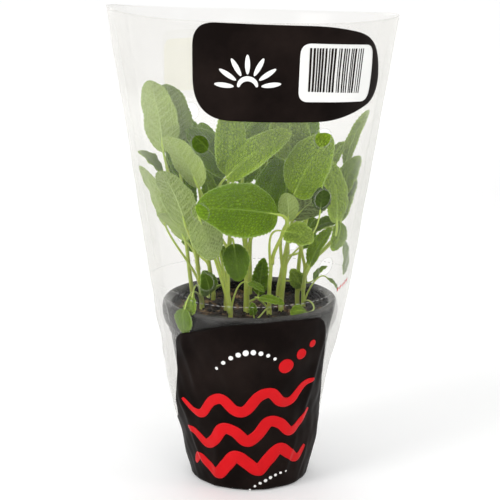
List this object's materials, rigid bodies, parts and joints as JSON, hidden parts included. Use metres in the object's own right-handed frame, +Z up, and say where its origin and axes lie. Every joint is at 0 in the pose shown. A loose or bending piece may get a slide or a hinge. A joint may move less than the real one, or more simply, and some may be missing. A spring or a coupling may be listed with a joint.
{
  "type": "potted sage in a film sleeve",
  "caption": "Young sage plants in a black nursery pot of growing medium, standing in a clear conical film sleeve with an open mouth and punched vent holes.",
  "frame": {"origin": "centre of the pot's base, on the surface it stands on", "axes": "+Z up; the sleeve's printed front faces -Y; +X to the right seen from the front"},
  "size_m": [0.1616, 0.1584, 0.269],
  "materials": {
    "pot_plastic": "satin black moulded plastic",
    "growing_medium": "moist crumbly peat compost",
    "film": "clear glossy film with printed panels",
    "sage": "downy, pebbled leaf"
  },
  "bodies": {
    "root": {"pot": "pot_plastic", "growing_medium": "growing_medium", "sleeve": "film", "sage_left_front": "sage", "sage_left_side": "sage", "sage_middle_front": "sage", "sage_middle": "sage", "sage_right_front": "sage", "sage_right_middle": "sage", "sage_right_side": "sage", "sage_right_back": "sage", "sage_left_back": "sage", "sage_back": "sage", "sage_back_right": "sage", "sage_centre": "sage"}
  },
  "joints": []
}
